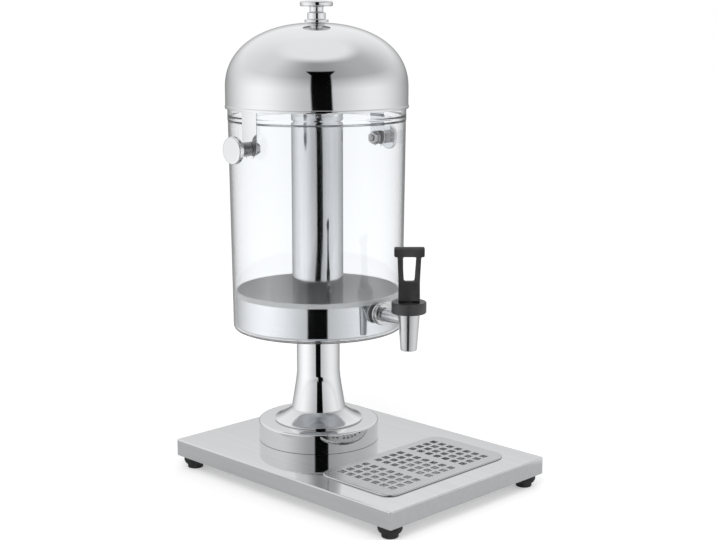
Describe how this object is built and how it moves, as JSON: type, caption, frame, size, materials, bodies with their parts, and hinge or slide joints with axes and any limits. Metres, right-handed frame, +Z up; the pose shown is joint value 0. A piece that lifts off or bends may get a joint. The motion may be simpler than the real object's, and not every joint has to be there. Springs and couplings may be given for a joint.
{
  "type": "juice dispenser",
  "caption": "Countertop juice dispenser: clear tank with an ice tube and domed steel lid, lever tap, drip tray, on a steel pedestal and base.",
  "frame": {"origin": "on the surface it stands on, under the middle of the base plate", "axes": "+Z up; the tap and drip tray face -Y; +X is the right-hand side seen from behind the tap, so the two lid clamps lie on -X and +X; the lever is turned 45 degrees to -X"},
  "size_m": [0.265, 0.36, 0.5602],
  "materials": {
    "mirror_steel": "mirror-polished stainless steel",
    "satin_steel": "satin-polished stainless steel",
    "brushed_steel": "brushed stainless steel",
    "screw_steel": "plain zinc-bright steel",
    "clear_plastic": "clear polycarbonate",
    "black_plastic": "moulded black plastic, slight sheen",
    "black_rubber": "matte black rubber",
    "silicone": "translucent white silicone"
  },
  "bodies": {
    "stand": {"base_plate": "satin_steel", "reinforcement_disc": "screw_steel", "tie_rod": "screw_steel", "tie_rod_washer": "screw_steel", "tie_rod_nut": "screw_steel", "foot_front_left": "black_rubber", "foot_front_right": "black_rubber", "foot_back_left": "black_rubber", "foot_back_right": "black_rubber", "foot_screw_front_left": "screw_steel", "foot_screw_front_right": "screw_steel", "foot_screw_back_left": "screw_steel", "foot_screw_back_right": "screw_steel", "pedestal_drum": "mirror_steel", "pedestal_column": "mirror_steel", "tank_vessel": "clear_plastic", "tank_pan": "brushed_steel", "pan_seal": "silicone", "ice_tube": "brushed_steel", "ice_tube_gasket": "silicone", "tap_body": "satin_steel", "tap_gasket": "silicone", "tap_washer": "silicone", "tap_nut": "satin_steel", "tap_bonnet": "black_plastic", "valve_spring": "screw_steel", "clamp_washer_left": "silicone", "clamp_washer_right": "silicone", "clamp_nut_left": "screw_steel", "clamp_nut_right": "screw_steel"},
    "lid": {"lid_dome": "mirror_steel", "lid_wall": "mirror_steel", "lid_gasket": "silicone", "lid_knob": "mirror_steel", "knob_screw": "screw_steel", "lid_strap_left": "mirror_steel", "lid_strap_right": "mirror_steel"},
    "clamp_left": {"clamp_screw_left": "mirror_steel"},
    "clamp_right": {"clamp_screw_right": "mirror_steel"},
    "valve": {"valve_stem": "screw_steel", "valve_plug": "silicone"},
    "lever": {"tap_lever": "black_plastic", "lever_pin": "screw_steel"},
    "tray": {"drip_tray": "brushed_steel"},
    "grille": {"drip_grille": "satin_steel"}
  },
  "joints": [
    {"name": "lid_lift", "type": "slide", "parent": "stand", "child": "lid", "axis": [0, 0, 1], "range_m": [0, 0.15]},
    {"name": "clamp_left_turn", "type": "hinge", "parent": "stand", "child": "clamp_left", "pos_m": [-0.12, 0.065, 0.3952], "axis": [-1, 0, 0], "range_deg": [0, 720]},
    {"name": "clamp_right_turn", "type": "hinge", "parent": "stand", "child": "clamp_right", "pos_m": [0.12, 0.065, 0.3952], "axis": [1, 0, 0], "range_deg": [0, 720]},
    {"name": "valve_lift", "type": "slide", "parent": "stand", "child": "valve", "axis": [0, 0, 1], "range_m": [0, 0.0028], "deforming": ["valve_spring"]},
    {"name": "lever_tilt", "type": "hinge", "parent": "valve", "child": "lever", "pos_m": [0, -0.084, 0.2323], "axis": [0.7071, -0.7071, 0], "range_deg": [0, 40], "stiffness_Nm_per_rad": 0.4, "springref_deg": -17.19},
    {"name": "tray_lift", "type": "slide", "parent": "stand", "child": "tray", "axis": [0, 0, 1], "range_m": [0, 0.06]},
    {"name": "grille_lift", "type": "slide", "parent": "tray", "child": "grille", "axis": [0, 0, 1], "range_m": [0, 0.04]}
  ],
  "couplings": [
    {"joint": "valve_lift", "follows": "lever_tilt", "m_per_rad": 0.004}
  ]
}
